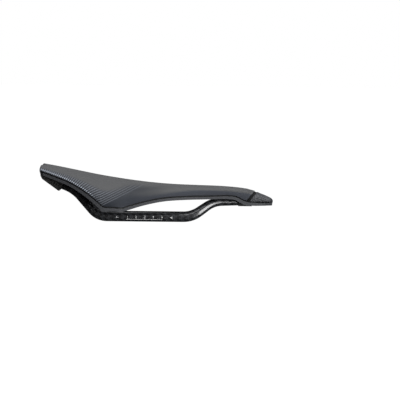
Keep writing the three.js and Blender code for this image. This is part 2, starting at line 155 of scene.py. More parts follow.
# The lights: name, place, the point that it faces, width and height in metres, power in watts.
SOFTBOXES = [
    ("overhead", (0.0, -0.15, 0.9), (0.0, 0.0, 0.0), 1.3, 0.7, 12.0),
    ("right_strip", (0.72, -0.95, 0.1), (0.06, 0.0, 0.01), 0.34, 0.6, 11.0),
    ("front_fill", (-0.5, -1.3, 0.3), (0.0, 0.0, 0.02), 0.9, 0.6, 1.8),
]
for name, place, target, width, height, power in SOFTBOXES:
    light = bpy.data.lights.new(name, "AREA")
    light.shape = "RECTANGLE"
    light.size = width
    light.size_y = height
    light.energy = power
    lamp = bpy.data.objects.new(name, light)
    lamp.location = place
    aim = Vector(target) - Vector(place)
    lamp.rotation_euler = aim.to_track_quat("-Z", "Y").to_euler()
    lamp.visible_camera = False
    bpy.context.collection.objects.link(lamp)

bpy.context.scene.view_settings.view_transform = "Standard"

# ---- Camera
# A long lens looks along the saddle's left-to-right axis from its right side, a little from above.
# The saddle's nose points to the right and sits left of the middle of the frame.

LENS = 342.4
SENSOR = 36.0
DISTANCE = 4.0
ELEVATION = math.radians(2.2)
ROLL = math.radians(0.62)
AIM = Vector((57.6, 0, 22.4)) * MM
camera_data = bpy.data.cameras.new("camera")
camera_data.lens = LENS
camera_data.sensor_width = SENSOR
camera = bpy.data.objects.new("camera", camera_data)
back = Vector((0, -math.cos(ELEVATION), math.sin(ELEVATION)))
turn = Matrix.Rotation(math.pi / 2 - ELEVATION, 4, "X") @ Matrix.Rotation(ROLL, 4, "Z")
camera.matrix_world = Matrix.Translation(AIM + back * DISTANCE) @ turn
bpy.context.collection.objects.link(camera)
bpy.context.scene.camera = camera

# ---- Base shell
# One stiff moulding of filled nylon that carries everything. It has a long relief opening, a glossy
# channel between the lobes, a scoop with two fins behind the opening and a rim all round. A dull
# black rib fills the groove between the cover and the nose cap. Its near-black colour, darker than
# the shell, is painted shade for the deep groove.

# Stations along the saddle, and the value there, in millimetres.
CROWN = [(-111, 59), (-97, 56.8), (-72, 52.1), (-46, 47.2), (-21, 43.3), (4, 40.4), (29, 38.6),
         (54, 37.8), (80, 37.1), (99, 35.7), (108, 34.4), (114.5, 32.8), (121, 30.2), (127, 27.8),
         (134, 24.6)]
HALF_WIDTH = [(-111, 41), (-108, 42.2), (-94, 49.5), (-76, 58.4), (-59, 66.3), (-50, 69.8),
              (-41, 71.5), (-30, 71), (-23, 69.2), (-5, 56.8), (7, 48.1), (18, 40.3), (30, 34.5),
              (42, 29.9), (60, 25.4), (78, 22.6), (96, 20.1), (114, 18), (126, 15.8), (134, 14.5)]
EDGE = [(-111, 53.3), (-100, 49.9), (-90, 46.5), (-79, 42.3), (-69, 37.2), (-58, 30.2),
        (-52, 25.6), (-47.5, 21.9), (-43, 18), (-40, 17.3), (-35, 17.2), (-28, 16.7),
        (-23.5, 16.3), (-21, 16.8), (-18.5, 17.8), (-13, 19.4), (-9.6, 20.4), (-4.5, 21.7),
        (0, 22.7), (12, 25.1), (22, 26.5), (37, 27.4), (68, 28.2), (89, 28.6), (95, 27.9),
        (100, 25.6), (104, 23.7), (110, 22.3), (134, 22.1)]
CHANNEL = [(-111, 21.5), (-106, 20), (-93, 17), (-78, 14), (-60, 10.9), (-53, 10.9), (-35, 13.8),
           (-25, 14), (6, 12.5), (25, 11.4), (47, 9.7), (60, 8.3), (83, 5.9), (112, 4)]
CHANNEL_FLOOR = [(-111, 52.5), (-97, 50), (-72, 44), (-46, 38.1), (-21, 33.8), (4, 30.9),
                 (29, 29.3), (54, 29.1), (80, 30.1), (99, 29.9), (109, 28.6), (113, 25.2),
                 (117, 22.3), (120, 21.8), (134, 21.8)]
RIM_DEPTH = [(-111, 2.9), (-90, 3), (-70, 3.5), (-56, 4.3), (-47, 4.6), (-41, 4.4), (-36, 3.6),
             (-30, 3.2), (-22, 3.4), (-12, 3.4), (0, 3.1), (20, 3), (60, 2.8), (90, 2.9),
             (100, 3.7), (104, 3.9), (112, 3.1), (134, 2.9)]
OPENING = [(-41, 0), (-40, 3.4), (-36, 5.6), (-28, 7.6), (-17, 9.2), (-5, 9.3), (12, 9),
           (36, 7.6), (54, 6.1), (66, 4.7), (73, 3.6), (76, 2.2), (77, 0)]
SHELL_TAIL = [(0, -102), (0.1, -103.6), (0.2, -107.6), (0.3, -109.5), (0.45, -110), (0.8, -109),
              (1, -106.5)]
NOSE_TIP, NOSE_ROUND = 134, 8

# How a section's sides round off across and down, on the wings and on the nose.
ROUND_ACROSS = (0.83, 0.6)
ROUND_DOWN = (1.18, 0.8)
NOSE_SECTIONS = (20, 90)

# The shell's thickness, the gap between cover and rim, the ledge's width, how far the lower face
# stands in from the side, and how far it stands back at the nose and at the tail.
SHELL = 1.9
EDGE_GAP = 1.4
LEDGE = 2.2
RIM_WALL = 1.1
RIM_LEAN = 0.4
END_RIM = (1.5, 5.5)
CHIN = 0.8
TAIL_CHIN = 0.9

# Shares of a section's width in the grid that end the channel's floor and the side wall.
CHANNEL_SHARE, WALL_SHARE = 0.25, 0.92


def fair(stations):
    """A smooth curve through the stations, level beyond both ends."""
    places, values = zip(*stations)

    def curve(at):
        if at <= places[0]:
            return values[0]
        if at >= places[-1]:
            return values[-1]
        i = bisect.bisect_right(places, at)
        (t0, v0), (t1, v1) = stations[i - 1], stations[i]
        before_t, before_v = stations[i - 2] if i > 1 else (t1, v1)
        after_t, after_v = stations[i + 1] if i + 1 < len(stations) else (t0, v0)
        half = (t1 - t0) / 2
        back_weight = half / (t0 - before_t)
        on_weight = half / (after_t - t1)
        p = (at - t0) / (t1 - t0)
        square, cube = p * p, p ** 3
        return (
            before_v * back_weight * (2 * square - cube - p)
            + v0 * ((1 + back_weight) * cube - (1.5 + 2 * back_weight) * square
                    + (back_weight - 0.5) * p + 1)
            + v1 * (-(1 + on_weight) * cube + (1.5 + on_weight) * square + 0.5 * p)
            + after_v * on_weight * (cube - square)
        )

    return curve


def lerp(start, end, share):
    return start + (end - start) * share


def smoothstep(value, low, high):
    share = min(max((value - low) / (high - low), 0), 1)
    return share * share * (3 - 2 * share)


crown, half_width, edge, channel, channel_floor, rim_depth, opening, shell_tail = map(fair, (
    CROWN, HALF_WIDTH, EDGE, CHANNEL, CHANNEL_FLOOR, RIM_DEPTH, OPENING, SHELL_TAIL))


def flank(x, angle):
    """The fall from a level crown to an upright edge: round on the wings, squarer on the nose."""
    nose = smoothstep(x, *NOSE_SECTIONS)
    across = math.sin(angle) ** lerp(*ROUND_ACROSS, nose)
    return across, max(math.cos(angle), 0) ** lerp(*ROUND_DOWN, nose)


def nose_front(share):
    return NOSE_TIP - NOSE_ROUND * share ** 5


def grid(along, across):
    """A unit grid whose vertices keep their share of the way along and across, as does its UV map."""
    bm = bmesh.new()
    bmesh.ops.create_grid(bm, x_segments=along, y_segments=across, size=0.5)
    u_layer = bm.verts.layers.float.new("along")
    v_layer = bm.verts.layers.float.new("across")
    uv = bm.loops.layers.uv.new("UVMap")
    for vert in bm.verts:
        vert[u_layer] = min(max(vert.co.x + 0.5, 0), 1)
        vert[v_layer] = min(max(vert.co.y + 0.5, 0), 1)
    for face in bm.faces:
        for loop in face.loops:
            loop[uv].uv = (loop.vert[u_layer], loop.vert[v_layer])
    return bm


def carry(bm, verts, place, *low):
    """Moves each vertex to the point, in millimetres, that place gives for its two shares."""
    u_layer = bm.verts.layers.float["along"]
    v_layer = bm.verts.layers.float["across"]
    for vert in verts:
        vert.co = Vector(place(vert[u_layer], vert[v_layer], *low)) * MM


def slab(along, across, place):
    """A closed sheet. place gives the points of its upper face, and of its lower face when low."""
    bm = grid(along, across)
    made = bmesh.ops.extrude_face_region(bm, geom=bm.faces[:])
    below = {item for item in made["geom"] if isinstance(item, bmesh.types.BMVert)}
    carry(bm, [vert for vert in bm.verts if vert not in below], place, False)
    carry(bm, below, place, True)
    bmesh.ops.recalc_face_normals(bm, faces=bm.faces)
    return bm


def both_sides(bm):
    """Adds the other half of the saddle, joined along its middle."""
    middle = [f for f in bm.faces if all(abs(v.co.y) < 1e-7 for v in f.verts)]
    bmesh.ops.delete(bm, geom=middle, context="FACES_ONLY")
    everything = bm.verts[:] + bm.edges[:] + bm.faces[:]
    bmesh.ops.mirror(bm, geom=everything, axis="Y", merge_dist=1e-6)
    bmesh.ops.recalc_face_normals(bm, faces=bm.faces)
    return bm


def other_side(bm):
    """A copy for the saddle's other side."""
    copy = bm.copy()
    bmesh.ops.scale(copy, vec=(1, -1, 1), verts=copy.verts)
    bmesh.ops.reverse_faces(copy, faces=copy.faces)
    return copy


ROUND_SIDES = 48


def bar(bm, radius, x, y, low, high):
    """An upright round bar between two heights, added to a piece."""
    made = bmesh.ops.create_cone(
        bm, cap_ends=True, segments=ROUND_SIDES, radius1=radius * MM, radius2=radius * MM,
        depth=(high - low) * MM)
    bmesh.ops.translate(bm, verts=made["verts"], vec=Vector((x, y, (low + high) / 2)) * MM)
    return made["verts"]


def piece(name, bm, finish, nodes=(), sharp=38, bevel=0.0, steps=2):
    """Makes the mesh an object of the saddle, with an eased edge where bevel is given."""
    mesh = bpy.data.meshes.new(name)
    bm.to_mesh(mesh)
    bm.free()
    mesh.shade_smooth()
    mesh.set_sharp_from_angle(angle=math.radians(sharp))
    mesh.materials.append(finish)
    made = bpy.data.objects.new(name, mesh)
    bpy.context.collection.objects.link(made)
    if bevel:
        easing = made.modifiers.new("eased_edges", "BEVEL")
        easing.width = bevel * MM
        easing.segments = steps
        easing.limit_method = "ANGLE"
        easing.angle_limit = math.radians(sharp)
    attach(made, "root")
    if nodes:
        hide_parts(*nodes)
    return made


def ledge_height(x, low):
    return edge(x) - EDGE_GAP - (rim_depth(x) if low else 0)


def wall_width(x, low):
    return half_width(x) - LEDGE - (RIM_WALL if low else 0)


def floor_height(x, low):
    return channel_floor(x) - (SHELL if low else 0)


def shell_row(u, tail, front):
    """Where a row lies and whether the opening cuts it. Rows crowd at the ends of each third."""
    ends = [tail, OPENING[0][0], OPENING[-1][0], front]
    third = min(int(u * 3), 2)
    share = 0.5 - 0.5 * math.cos(math.pi * (u * 3 - third))
    return lerp(ends[third], ends[third + 1], share), third == 1


def shell_point(u, v, low):
    tail = shell_tail(v) + (TAIL_CHIN if low else 0)
    front = nose_front(v) - (CHIN if low else 0)
    x, cut = shell_row(u, tail, front)
    end_rim = 1 - smoothstep(min(x - tail, front - x), *END_RIM) if low else 0
    ledge = ledge_height(x, low)
    top = lerp(floor_height(x, low), ledge, end_rim)
    wall = wall_width(x, low)
    centre = channel(x)
    if v <= CHANNEL_SHARE:
        inner = max(opening(x), 0) if cut else 0
        return x, lerp(inner, centre, v / CHANNEL_SHARE), top
    if v < WALL_SHARE:
        out, down = flank(x, (v - CHANNEL_SHARE) / (WALL_SHARE - CHANNEL_SHARE) * math.pi / 2)
        return x, lerp(centre, wall, out), ledge + (top - ledge) * down
    outer = half_width(x) - (RIM_LEAN if low else 0)
    return x, lerp(wall, outer, (v - WALL_SHARE) / (1 - WALL_SHARE)), ledge


# The groove's middle, how it leans, how its sides bow back and half its width. The rib in it is
# sunk below the cover, rooted in the shell and kept clear of both sides.
GROOVE_X, GROOVE_Z = 115.2, 30
GROOVE_SLOPE = 0.75
GROOVE_BOW, GROOVE_REACH = 1.5, 17
GROOVE_HALF = 1.9
MEETING_PASSES = 8
RIB_SUNK = 0.7
RIB_ROOT = 1
RIB_GAP = 0.3


def groove_x(y, z):
    """The slanted line between the cover and the nose cap."""
    return GROOVE_X + (z - GROOVE_Z) * GROOVE_SLOPE - GROOVE_BOW * (y / GROOVE_REACH) ** 2


def meet_groove(section, offset):
    """Where a section that changes along the saddle meets the groove. Each pass comes closer."""
    x = GROOVE_X
    for _ in range(MEETING_PASSES):
        x = groove_x(*section(x)) + offset
    return x


def shell_height(x, y, low):
    """Height of the shell's upper or lower face over a point of the plan."""
    ledge = ledge_height(x, low)
    centre = channel(x)
    reach = min(max((abs(y) - centre) / (wall_width(x, low) - centre), 0), 1)
    angle = math.asin(reach ** (1 / lerp(*ROUND_ACROSS, smoothstep(x, *NOSE_SECTIONS))))
    return ledge + (floor_height(x, low) - ledge) * flank(x, angle)[1]


def rib_point(u, v, low):
    """The rib between the cover and the nose cap, sunk a little below both."""
    def section(x):
        out, down = flank(x, abs(2 * v - 1) * math.pi / 2)
        y = (half_width(x) - RIB_SUNK) * out
        if low:
            return y, shell_height(x, y, False) - RIB_ROOT
        return y, edge(x) + (crown(x) - RIB_SUNK - edge(x)) * down

    half = GROOVE_HALF - RIB_GAP
    x = meet_groove(section, lerp(-half, half, u))
    y, z = section(x)
    return x, math.copysign(y, v - 0.5), z


def close_finish(start, values):
    shader = start.node("BsdfPrincipled", {}, values)
    start.node("OutputMaterial", {}, {"Surface": shader})


def moulded_nylon():
    finish, start = new_finish("moulded_nylon")
    place = object_place(start)
    cloud = start.node("TexNoise", {}, {"Vector": place, "Scale": 60.0, "Detail": 4.0})
    grain = start.node("TexNoise", {}, {"Vector": place, "Scale": 1400.0, "Detail": 2.0})
    across = start.node("Attribute", {"attribute_name": "across"}, {}, output=2)
    along = start.node("Attribute", {"attribute_name": "along"}, {}, output=2)
    ends = along.rise(0.995, 1.0) + (1 - along.rise(0.0, 0.005))
    # The outer rim and both ends of the shell are rougher, as satin, and painted lighter: painted
    # light on the rim's side.
    lit_satin_rim = start.math("MAXIMUM", across.rise(0.985, 1.0), ends)
    colour = cloud.rise(0.3, 0.7).mix((0.006, 0.0065, 0.0075, 1), (0.011, 0.0115, 0.0125, 1))
    colour = lit_satin_rim.mix(colour, (0.075, 0.077, 0.083, 1))
    relief = start.node("Bump", {}, {"Strength": 0.25, "Distance": 0.0002, "Height": grain})
    close_finish(start, {
        "Base Color": colour,
        "Roughness": 0.24 + cloud * 0.12 + lit_satin_rim * 0.16,
        "Specular IOR Level": 0.16,
        "Normal": relief,
    })
    return finish


# Near black, darker than the shell: painted shade for the deep groove that the rib fills.
def painted_shade_black():
    finish, start = new_finish("painted_shade_black")
    grain = start.node("TexNoise", {}, {"Vector": object_place(start), "Scale": 1400.0})
    close_finish(start, {
        "Base Color": grain.mix(grey(0.001), grey(0.004)),
        "Roughness": 0.6 + grain * 0.2,
        "Specular IOR Level": 0.15,
    })
    return finish


nylon = moulded_nylon()
shell = both_sides(slab(210, 60, shell_point))

# Bosses under the shell, for the two inserts and for the front socket's screw: radius and foot.
INSERT_X, INSERT_Y = -84, 8
INSERT_BOSS = (5, 37.6)
SOCKET_SCREW_X = 104.5
SOCKET_BOSS = (3, 21)
BOSS_ROOT = 1
for (radius, low), x, y in ((INSERT_BOSS, INSERT_X, INSERT_Y), (INSERT_BOSS, INSERT_X, -INSERT_Y),
                            (SOCKET_BOSS, SOCKET_SCREW_X, 0)):
    bar(shell, radius, x, y, low, channel_floor(x) - BOSS_ROOT)
piece("shell_moulding", shell, nylon, ["base_shell"], bevel=0.25)
piece("groove_rib", slab(6, 80, rib_point), painted_shade_black(), bevel=0.25)

FIN_FROM, FIN_TO = -63, -35
FIN_SPREAD = (4.6, 9.6)
FIN_HALF, FIN_HEIGHT, FIN_ROOT = 0.5, 1.3, 1


def fin_point(u, v, low):
    """The left fin rises at its rear end and runs outwards to its front."""
    x = lerp(FIN_FROM, FIN_TO, u)
    rise = FIN_HEIGHT * math.sin(math.pi * min(u * 1.5 + 0.08, 0.5))
    y = lerp(*FIN_SPREAD, u) + lerp(-FIN_HALF, FIN_HALF, v)
    return x, y, channel_floor(x) + (-FIN_ROOT if low else rise)


left_fin = slab(24, 4, fin_point)
right_fin = other_side(left_fin)
for name, fin in (("left", left_fin), ("right", right_fin)):
    piece(name + "_scoop_fin", fin, nylon, bevel=0.2)

# ---- Rail sockets
# Two wedges under the tail and a block behind the nose hold the rails' ends. They are moulded from
# chopped carbon fibre in resin, so that their faces look mottled.


def chopped_fibre():
    finish, start = new_finish("chopped_fibre")
    place = object_place(start)
    flakes = start.node(
        "TexVoronoi", {}, {"Vector": place, "Scale": 520.0, "Randomness": 1.0}, output=1)
    flake = start.node("SeparateColor", {}, {0: flakes})
    fleck = start.node("TexNoise", {}, {"Vector": place, "Scale": 900.0, "Detail": 3.0})
    tone = flake.rise(0.1, 0.95)
    colour = tone.mix((0.008, 0.008, 0.009, 1), (0.045, 0.043, 0.042, 1))
    relief = start.node("Bump", {}, {"Strength": 0.35, "Distance": 0.0003, "Height": fleck})
    close_finish(start, {
        "Base Color": colour,
        "Roughness": 0.36 + flake * 0.24,
        "Normal": relief,
    })
    return finish


fibre_block = chopped_fibre()

# Corners of the wedges' underside, from the tail forward, and where their roof leaves the rim.
WEDGE = [(-109, 47.6), (-107.2, 44), (-90.4, 32), (-89, 31.8), (-86.4, 34.3), (-85.4, 39.2)]
WEDGE_MIDDLE, WEDGE_HALF = 30, 6.8
WEDGE_OFF_RIM = (-104, -98)
SOCKET_GAP = 0.3


def wedge_underside(u):
    """A point of the underside. Rows fall on its corners."""
    at = u * (len(WEDGE) - 1)
    i = min(int(at), len(WEDGE) - 2)
    (x0, z0), (x1, z1) = WEDGE[i], WEDGE[i + 1]
    return lerp(x0, x1, at - i), lerp(z0, z1, at - i)


def wedge_point(u, v, low):
    x, z = wedge_underside(u)
    y = WEDGE_MIDDLE + lerp(-WEDGE_HALF, WEDGE_HALF, v)
    if low:
        return x, y, z
    off_rim = smoothstep(x, *WEDGE_OFF_RIM)
    return x, y, lerp(ledge_height(x, True), shell_height(x, y, True), off_rim) - SOCKET_GAP


left_wedge = slab(40, 8, wedge_point)
right_wedge = other_side(left_wedge)
for name, wedge in (("left", left_wedge), ("right", right_wedge)):
    node = name + "_rear_rail_socket"
    piece(name + "_tail_wedge", wedge, fibre_block, [node],
          sharp=24, bevel=0.7, steps=3)

BLOCK_FROM, BLOCK_TO = 97.5, 112
BLOCK_HALF = 14.2
BLOCK_LOW, BLOCK_LEAST_HIGH = 16.9, 17.5
BLOCK_GAP = 0.4


def block_point(u, v, low):
    x = lerp(BLOCK_FROM, BLOCK_TO, u)
    half = min(BLOCK_HALF, wall_width(x, True) - SOCKET_GAP)
    y = lerp(-half, half, v)
    return x, y, BLOCK_LOW if low else max(shell_height(x, y, True) - BLOCK_GAP, BLOCK_LEAST_HIGH)


block = slab(10, 20, block_point)
piece("nose_block", block, fibre_block, ["front_rail_socket"], bevel=0.5)

# ---- Rails
# Two oval tubes of woven carbon under clear lacquer. A printed clamping scale on the outer side
# of each, a line with numbers over it, shows how far the saddle may slide in its clamp.

# Corners of the left rail's underside, and the length that the bend takes on either side of each.
RAIL_CORNERS = [((-97, 30, 37.2), 0), ((-76.3, 27, 29.3), 9), ((-51, 22, 0), 12),
                ((51, 22, 0), 11), ((73, 15.5, 16.8), 8), ((105, 9.8, 17.8), 0)]
BEND_STEPS = 12
RAIL_WIDTH, RAIL_HEIGHT, RAIL_END_HEIGHT = 7, 9.3, 7.1


def rail_route():
    """The line of the underside, with its corners rounded, as evenly spaced points."""
    points = [Vector(RAIL_CORNERS[0][0])]
    corners = [Vector(corner) for corner, _ in RAIL_CORNERS]
    for i in range(1, len(corners) - 1):
        bend = RAIL_CORNERS[i][1]
        before = corners[i] + (corners[i - 1] - corners[i]).normalized() * bend
        after = corners[i] + (corners[i + 1] - corners[i]).normalized() * bend
        for step in range(BEND_STEPS + 1):
            t = step / BEND_STEPS
            points.append(before * (1 - t) ** 2 + corners[i] * 2 * t * (1 - t) + after * t * t)
    points.append(corners[-1])
    return points


def even(points, count):
    """The same line as count + 1 points, and its length."""
    lengths = [0.0]
    for a, b in zip(points, points[1:]):
        lengths.append(lengths[-1] + (b - a).length)
    result = []
    for step in range(count + 1):
        at = lengths[-1] * step / count
        i = min(max(bisect.bisect_right(lengths, at), 1), len(points) - 1)
        share = (at - lengths[i - 1]) / (lengths[i] - lengths[i - 1])
        result.append(points[i - 1].lerp(points[i], share))
    return result, lengths[-1]


RAIL_ROWS = 240
RAIL_SPOKES = 40

# Between these places along the saddle a rail's oval thins to the height of its ends.
REAR_TAPER, FRONT_TAPER = (-92, -55), (52, 90)
route, rail_length = even(rail_route(), RAIL_ROWS)
radius = RAIL_WIDTH / 2
straight = RAIL_HEIGHT - RAIL_WIDTH
girth = 2 * math.pi * radius + 2 * straight


def oval(share):
    """A point of the tube's outline, from the middle of its inner side round by the top."""
    at = share * girth
    lengths = [straight / 2, math.pi * radius, straight, math.pi * radius, straight / 2]
    for part, length in enumerate(lengths):
        if at <= length or part == len(lengths) - 1:
            break
        at -= length
    middle = radius + straight / 2
    if part == 0:
        return radius, middle + at
    if part == 1:
        return radius * math.cos(at / radius), middle + straight / 2 + radius * math.sin(at / radius)
    if part == 2:
        return -radius, middle + straight / 2 - at
    if part == 3:
        angle = math.pi + at / radius
        return radius * math.cos(angle), middle - straight / 2 + radius * math.sin(angle)
    return radius, middle - straight / 2 + at


def rail_point(u, v):
    i = round(u * RAIL_ROWS)
    centre = route[i]
    forward = (route[min(i + 1, RAIL_ROWS)] - route[max(i - 1, 0)]).normalized()
    side = Vector((0, 0, 1)).cross(forward).normalized()
    up = forward.cross(side)
    out, high = oval(v)
    taper = max(smoothstep(centre.x, *FRONT_TAPER), 1 - smoothstep(centre.x, *REAR_TAPER))
    if high > radius:
        high -= taper * (RAIL_HEIGHT - RAIL_END_HEIGHT) * smoothstep(high, radius, radius + straight)
    return centre + side * out + up * high


def rail_tube():
    bm = grid(RAIL_ROWS, RAIL_SPOKES)
    carry(bm, bm.verts, rail_point)
    bmesh.ops.remove_doubles(bm, verts=bm.verts, dist=1e-7)
    bmesh.ops.holes_fill(bm, edges=[e for e in bm.edges if e.is_boundary], sides=0)
    bmesh.ops.recalc_face_normals(bm, faces=bm.faces)
    return bm


TOW = 1.9


def woven_carbon():
    """A two-over-two twill of tows 1.9 mm wide, which follows the tube by its own UV map."""
    finish, start = new_finish("woven_carbon")
    uv = start.node("UVMap", {"uv_map": "UVMap"}, {})
    along = start.node("SeparateXYZ", {}, {0: uv}, output=0) * (rail_length / TOW)
    around = start.node("SeparateXYZ", {}, {0: uv}, output=1) * round(girth / TOW)
    column, row = start.math("FLOOR", along), start.math("FLOOR", around)
    over = start.math("GREATER_THAN", start.math("FLOORED_MODULO", column + row, 4.0), 1.5)
    across_tow = start.math("FRACT", along) * over + start.math("FRACT", around) * (1 - over)
    bulge = 1 - start.math("ABSOLUTE", across_tow * 2 - 1)
    thread = start.math("SINE", across_tow * 38.0) * 0.5 + 0.5
    # Lighter and darker tows, lightest on each crown: painted sheen for how the fibres catch light.
    tone = over * 0.55 + bulge * 0.3 + thread * 0.15
    colour = tone.mix((0.0015, 0.0016, 0.002, 1), (0.045, 0.047, 0.053, 1))
    relief = start.node("Bump", {}, {"Strength": 0.05, "Distance": 0.0002, "Height": bulge})
    close_finish(start, {
        "Base Color": colour,
        "Roughness": 0.34 - tone * 0.04,
        "Specular IOR Level": 0.2,
        "Coat Weight": 1.0,
        "Coat Roughness": 0.24,
        "Normal": relief,
    })
    return finish


carbon = woven_carbon()
left_tube = rail_tube()
right_tube = other_side(left_tube)
piece("left_rail_tube", left_tube, carbon, ["left_rail"])
piece("right_rail_tube", right_tube, carbon, ["right_rail"])


def white_print():
    finish, start = new_finish("white_print")
    wear = start.node("TexNoise", {}, {"Vector": object_place(start), "Scale": 2500.0})
    close_finish(start, {
        "Base Color": wear.rise(0.35, 0.6).mix(grey(0.6), grey(0.85)),
        "Roughness": 0.45,
    })
    return finish


# The scale on the rail's outer face: half the print's thickness, the line, its ticks and numbers,
# and an arrow beyond each end that points at it.
PRINT = 0.05
RAIL_FACE = 25.5
LINE_FROM, LINE_TO = -19, 18
LINE_LOW, LINE_HIGH = 2.3, 2.65
TICKS, TICK_FROM, TICK_STEP, TICK_HALF = 9, -18, 4.5, 0.15
LONG_TICK, SHORT_TICK = 3.7, 3.3
NUMBER_SIZE, NUMBER_LOW, NUMBER_WEIGHT = 3.1, 4.2, 0.06
ARROWS = ((-29, 1), (28, -1))
ARROW_RADIUS, ARROW_MIDDLE = 1.5, 4.6


def box(bm, low, high):
    made = bmesh.ops.create_cube(bm, size=1.0)
    low, high = Vector(low) * MM, Vector(high) * MM
    bmesh.ops.scale(bm, vec=high - low, verts=made["verts"])
    bmesh.ops.translate(bm, vec=(low + high) / 2, verts=made["verts"])


def scale_marks(side):
    """The scale on one rail: side is 1 for the left one and -1 for the right one."""
    bm = bmesh.new()
    near, far = sorted((side * (RAIL_FACE - PRINT), side * (RAIL_FACE + PRINT)))
    box(bm, (LINE_FROM, near, LINE_LOW), (LINE_TO, far, LINE_HIGH))
    for step in range(TICKS):
        x = TICK_FROM + step * TICK_STEP
        high = SHORT_TICK if step % 2 else LONG_TICK
        box(bm, (x - TICK_HALF, near, LINE_HIGH), (x + TICK_HALF, far, high))
    upright = Matrix.Rotation(math.pi / 2, 4, "X")
    for x, point in ARROWS:
        arrow = bmesh.ops.create_cone(
            bm, cap_ends=True, segments=3, radius1=ARROW_RADIUS * MM, radius2=ARROW_RADIUS * MM,
            depth=2 * PRINT * MM)
        turned = upright @ Matrix.Rotation(-point * math.pi / 2, 4, "Z")
        place = Matrix.Translation(Vector((x, side * RAIL_FACE, ARROW_MIDDLE)) * MM)
        bmesh.ops.transform(bm, matrix=place @ turned, verts=arrow["verts"])
    if side > 0:
        upright = Matrix.Rotation(math.pi, 4, "Z") @ upright
    for tick in range(0, TICKS, 2):
        letters = bpy.data.curves.new("number", "FONT")
        letters.body = str(tick // 2 + 1)
        letters.size = NUMBER_SIZE * MM
        letters.align_x = "CENTER"
        letters.extrude = PRINT * MM
        letters.offset = NUMBER_WEIGHT * MM
        flat = bpy.data.objects.new("number", letters)
        bpy.context.collection.objects.link(flat)
        shape = bpy.data.meshes.new_from_object(
            flat.evaluated_get(bpy.context.evaluated_depsgraph_get()))
        bpy.data.objects.remove(flat)
        x = TICK_FROM + tick * TICK_STEP
        place = Matrix.Translation(Vector((x, side * RAIL_FACE, NUMBER_LOW)) * MM)
        shape.transform(place @ upright)
        bm.from_mesh(shape)
        bpy.data.meshes.remove(shape)
    return bm


ink = white_print()
for side, name in ((1, "left"), (-1, "right")):
    piece(name + "_rail_scale", scale_marks(side), ink)

# ---- Foam pads
# A pad of firm foam fills each lobe between the cover and the base shell. The cover hides all of
# it but the thin edge beside the channel.

# Each lobe rolls down into the channel over this width, which takes this share of its section.
ROLL_WIDTH = 4
ROLL_SHARE = 0.2
LOBE_FOOT = 0.3
TAIL_ROUND = 2.4
SKIN = 1.1
COVER_FRONT = 112

# Where the two halves of the cover close over the channel, where rows start to lean as the groove
# does, and how far rows crowd at both ends.
CLOSING = (107.2, 110.6)
LEAN_FROM = 92
CROWDING = 0.55
LOBE_TAIL = fair([(0, -107), (0.12, -108.9), (0.22, -109.8), (0.4, -110), (0.6, -110),
                  (0.85, -108.8), (1, -106.5)])


def lobe_section(x, v, inset, tail_distance, inner):
    """A point of the section at x. The section rises from nothing beyond the tail's edge."""
    outer = half_width(x) - inset
    top = crown(x) - inset
    foot = channel_floor(x) + LOBE_FOOT
    low = edge(x)
    rise = math.sqrt(max(1 - (1 - min(tail_distance / TAIL_ROUND, 1)) ** 2, 0))
    if v < ROLL_SHARE:
        angle = v / ROLL_SHARE * math.pi / 2
        y = inner + ROLL_WIDTH * (1 - math.cos(angle))
        return max(y, 0), foot + (top - foot) * math.sin(angle) * rise
    share = (v - ROLL_SHARE) / (1 - ROLL_SHARE)
    out, down = flank(x, share * math.pi / 2)
    parting = lerp(foot, low, share)
    skin = low + (top - low) * down
    start = inner + ROLL_WIDTH
    return max(lerp(start, outer, out), 0), parting + (skin - parting) * rise


def lobe_point(u, v, inset, tail_inset, closed):
    """A point on a lobe, sunk by inset below the skin. closed brings both lobes together."""
    tail = LOBE_TAIL(v) + tail_inset
    row = lerp(tail, COVER_FRONT, u - CROWDING * math.sin(2 * math.pi * u) / (2 * math.pi))

    def section(x):
        end = smoothstep(x, *CLOSING) if closed else 0
        inner = lerp(channel(x) + inset, -ROLL_WIDTH, end)
        return lobe_section(x, v, inset, row - tail, inner)

    front = meet_groove(section, -GROOVE_HALF)
    x = row + smoothstep(row, LEAN_FROM, COVER_FRONT) * (front - COVER_FRONT)
    return x, *section(x)


def moulded_foam():
    finish, start = new_finish("moulded_foam")
    place = object_place(start)
    cells = start.node("TexVoronoi", {}, {"Vector": place, "Scale": 1500.0})
    cloud = start.node("TexNoise", {}, {"Vector": place, "Scale": 80.0})
    relief = start.node("Bump", {}, {"Strength": 0.5, "Distance": 0.0004, "Height": cells})
    close_finish(start, {
        "Base Color": cloud.mix(grey(0.012), grey(0.024)),
        "Roughness": 0.85 + cells * 0.1,
        "Normal": relief,
    })
    return finish


foam = moulded_foam()
PAD_INSET = SKIN + 0.3
PAD_TAIL = 2.6
PAD_CLEAR = 0.4
PAD_SPREAD = 0.45
PAD_LIP = 0.05


def pad_underside(x, v):
    """Where the pad's underside is at x, just clear of the shell."""
    out, down = flank(x, v * math.pi / 2)
    ledge = ledge_height(x, False)
    y = lerp(channel(x) + PAD_INSET, wall_width(x, False) + PAD_SPREAD, out)
    return y, ledge + (channel_floor(x) - ledge) * down + PAD_CLEAR


def pad_point(u, v, low):
    x, y, z = lobe_point(u, v, PAD_INSET, PAD_INSET + PAD_TAIL, False)
    if v == 0:
        z += PAD_LIP * (crown(x) - channel_floor(x))
    if low:
        thickness = z - pad_underside(x, v)[1]
        x -= smoothstep(x, LEAN_FROM, COVER_FRONT) * thickness * GROOVE_SLOPE
        y, z = pad_underside(x, v)
    return x, y, z


left_pad = slab(90, 24, pad_point)
right_pad = other_side(left_pad)
for name, pad in (("left", left_pad), ("right", right_pad)):
    node = name + "_foam_pad"
    piece(name + "_lobe_foam", pad, foam, [node])

